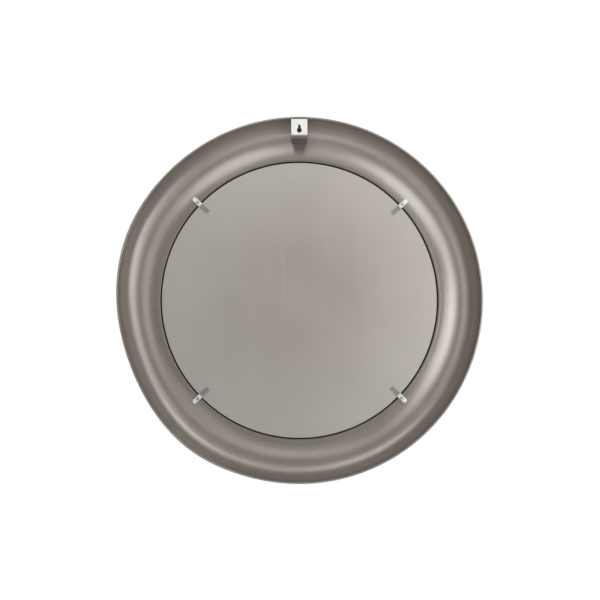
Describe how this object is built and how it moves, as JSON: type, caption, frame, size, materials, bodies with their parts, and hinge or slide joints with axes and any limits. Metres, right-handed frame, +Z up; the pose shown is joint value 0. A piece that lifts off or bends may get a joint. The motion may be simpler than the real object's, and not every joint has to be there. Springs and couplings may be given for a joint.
{
  "type": "convex wall mirror",
  "caption": "Round convex mirror in a deep rolled sheet-metal frame, closed by a flat back plate under turn clips and hung from a keyhole strap.",
  "frame": {"origin": "centre of the keyhole's round hole, in the wall plane (the outer face of the hanger strap, level with the rim)", "axes": "+Y points to the wall, out of the keyhole; the mirror faces -Y; +Z is up; +X is to the right as seen from the room"},
  "size_m": [0.5999, 0.0789, 0.6],
  "materials": {
    "frame_metal": "satin, spun, slightly warm grey",
    "zinc_plate": "bright zinc plate",
    "plate_paint": "satin warm-grey paint with faint streaks",
    "mirror": "silvered, painted behind",
    "rubber": "matt black",
    "foam": "closed-cell foam, matt",
    "clear_plastic": "clear moulded plastic",
    "screw_steel": "nickel plated",
    "nylon": "natural nylon",
    "nut_steel": "yellow passivated zinc"
  },
  "bodies": {
    "mirror": {"frame_shell": "frame_metal", "hanger_strap": "zinc_plate", "back_plate": "plate_paint", "backing_foam": "foam", "mirror_dome": "mirror", "lip_gasket": "rubber", "clip_screw_top_right": "screw_steel", "clip_screw_top_left": "screw_steel", "clip_screw_bottom_left": "screw_steel", "clip_screw_bottom_right": "screw_steel", "clip_spacer_top_right": "nylon", "clip_spacer_top_left": "nylon", "clip_spacer_bottom_left": "nylon", "clip_spacer_bottom_right": "nylon", "clip_nut_top_right": "nut_steel", "clip_nut_top_left": "nut_steel", "clip_nut_bottom_left": "nut_steel", "clip_nut_bottom_right": "nut_steel"},
    "clip_top_right": {"clip_top_right": "clear_plastic"},
    "clip_top_left": {"clip_top_left": "clear_plastic"},
    "clip_bottom_left": {"clip_bottom_left": "clear_plastic"},
    "clip_bottom_right": {"clip_bottom_right": "clear_plastic"}
  },
  "joints": [
    {"name": "clip_top_right_turn", "type": "hinge", "parent": "mirror", "child": "clip_top_right", "pos_m": [0.16897, -0.0304, -0.11482], "axis": [0, 1, 0], "continuous": true},
    {"name": "clip_top_left_turn", "type": "hinge", "parent": "mirror", "child": "clip_top_left", "pos_m": [-0.1718, -0.0304, -0.1178], "axis": [0, 1, 0], "continuous": true},
    {"name": "clip_bottom_left_turn", "type": "hinge", "parent": "mirror", "child": "clip_bottom_left", "pos_m": [-0.17039, -0.0304, -0.43969], "axis": [0, 1, 0], "continuous": true},
    {"name": "clip_bottom_right_turn", "type": "hinge", "parent": "mirror", "child": "clip_bottom_right", "pos_m": [0.16897, -0.0304, -0.44117], "axis": [0, 1, 0], "continuous": true}
  ]
}
